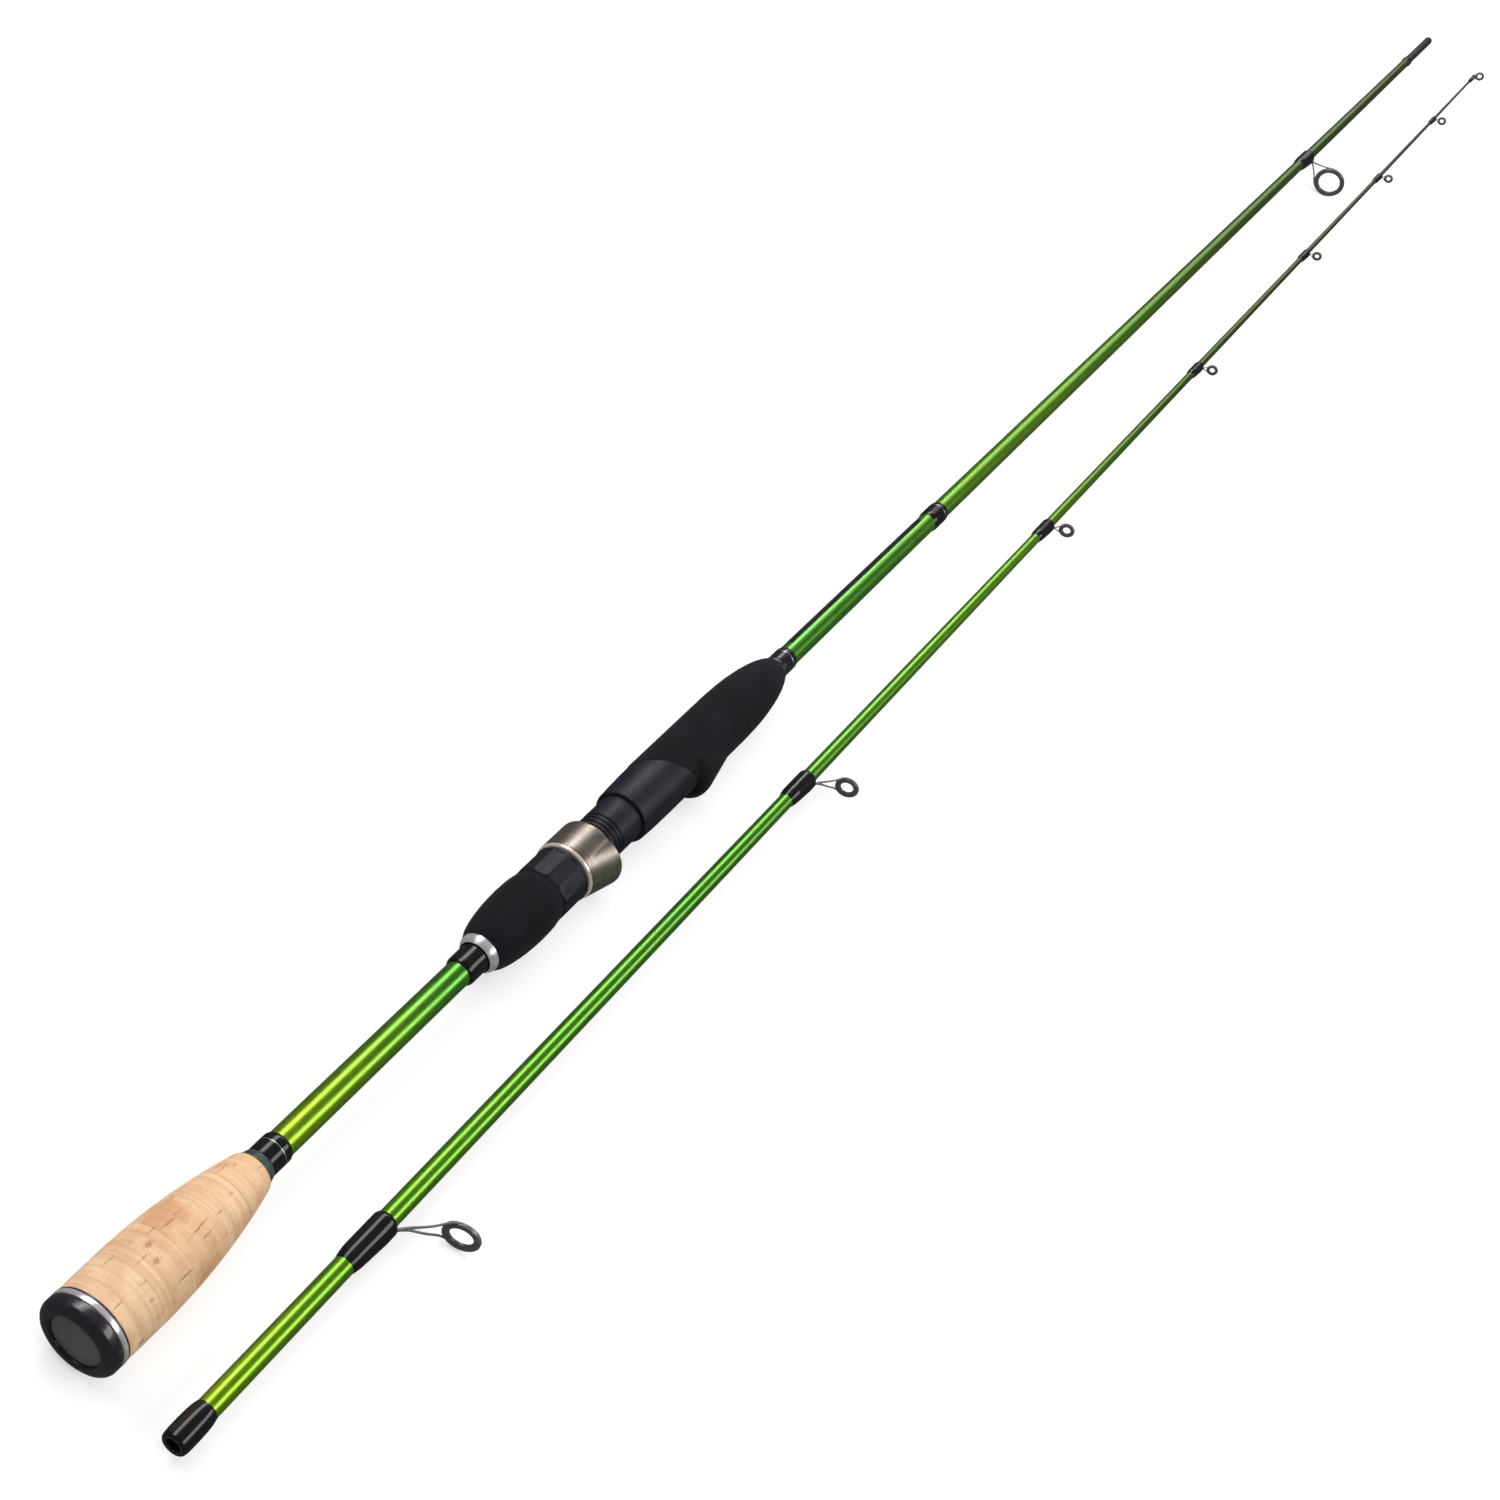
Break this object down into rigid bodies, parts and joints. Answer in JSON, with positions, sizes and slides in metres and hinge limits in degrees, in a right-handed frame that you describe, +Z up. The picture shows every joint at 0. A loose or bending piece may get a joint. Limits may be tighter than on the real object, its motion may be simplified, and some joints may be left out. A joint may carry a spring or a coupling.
{
  "type": "spinning rod",
  "caption": "Slender two-section fishing rod with a split cork and foam grip, a screw-locked reel seat and ring guides, laid side by side.",
  "frame": {"origin": "on the surface the rod lies on, under the middle of the two sections' common box", "axes": "+X along both sections from the butt cap towards the tips, +Z up, +Y from the tip section towards the butt section"},
  "size_m": [1.256, 0.075, 0.0263],
  "materials": {
    "cork": "satin cork",
    "thread_wrap": "black thread under gloss epoxy",
    "green_blank": "clear-coated metallic green",
    "black_cap": "gloss black",
    "grey_disc": "matt grey",
    "polished_trim": "polished",
    "winding_check": "satin dark grey",
    "foam": "matt closed-cell foam",
    "nut_plastic": "dark satin",
    "bright_ring": "polished",
    "hood_metal": "dark brushed",
    "cushion": "matt black",
    "seat_plastic": "satin dark",
    "arbor": "plain",
    "graphite": "ground graphite",
    "guide_frame": "dark plated",
    "guide_insert": "polished dark ceramic"
  },
  "bodies": {
    "butt_section": {"butt_cap": "black_cap", "cap_disc": "grey_disc", "cap_trim_ring": "polished_trim", "cork_ring_1": "cork", "cork_ring_2": "cork", "cork_ring_3": "cork", "cork_ring_4": "cork", "cork_ring_5": "cork", "cork_check": "winding_check", "cork_wrap": "thread_wrap", "butt_blank": "green_blank", "rear_wrap": "thread_wrap", "reel_seat_body": "seat_plastic", "rear_arbor": "arbor", "front_arbor": "arbor", "fixed_hood": "seat_plastic", "foregrip": "foam", "front_check": "polished_trim", "front_wrap": "thread_wrap", "ring_wrap": "thread_wrap", "stripper_frame": "guide_frame", "stripper_ring": "guide_insert", "stripper_wrap": "thread_wrap", "spigot": "graphite", "spigot_stop_wrap": "thread_wrap"},
    "hood": {"slip_ring": "bright_ring", "moving_hood": "hood_metal", "hood_cushion": "cushion"},
    "nut": {"lock_nut": "nut_plastic", "rear_foam_grip": "foam", "rear_grip_cone": "polished_trim"},
    "tip_section": {"tip_blank": "green_blank", "ferrule_sleeve": "thread_wrap", "guide_1_frame": "guide_frame", "guide_1_ring": "guide_insert", "guide_1_wrap": "thread_wrap", "guide_2_frame": "guide_frame", "guide_2_ring": "guide_insert", "guide_2_wrap": "thread_wrap", "guide_3_frame": "guide_frame", "guide_3_ring": "guide_insert", "guide_3_wrap": "thread_wrap", "guide_4_frame": "guide_frame", "guide_4_ring": "guide_insert", "guide_4_wrap": "thread_wrap", "guide_5_frame": "guide_frame", "guide_5_ring": "guide_insert", "guide_5_wrap": "thread_wrap", "guide_6_frame": "guide_frame", "guide_6_ring": "guide_insert", "guide_6_wrap": "thread_wrap", "guide_7_frame": "guide_frame", "guide_7_ring": "guide_insert", "guide_7_wrap": "thread_wrap", "tip_top_tube": "thread_wrap", "tip_top_frame": "guide_frame", "tip_top_ring": "guide_insert"}
  },
  "joints": [
    {"name": "hood_slide", "type": "slide", "parent": "butt_section", "child": "hood", "axis": [1, 0, 0], "range_m": [0, 0.016]},
    {"name": "nut_turn", "type": "hinge", "parent": "hood", "child": "nut", "pos_m": [-0.40604, 0.02435, 0.01315], "axis": [1, 0, 0], "range_deg": [0, 2880]},
    {"name": "tip_lift", "type": "slide", "parent": "butt_section", "child": "tip_section", "axis": [0, 0, 1], "range_m": [0, 0.3]}
  ],
  "couplings": [
    {"joint": "nut_turn", "follows": "hood_slide", "rad_per_m": 3141.5}
  ]
}
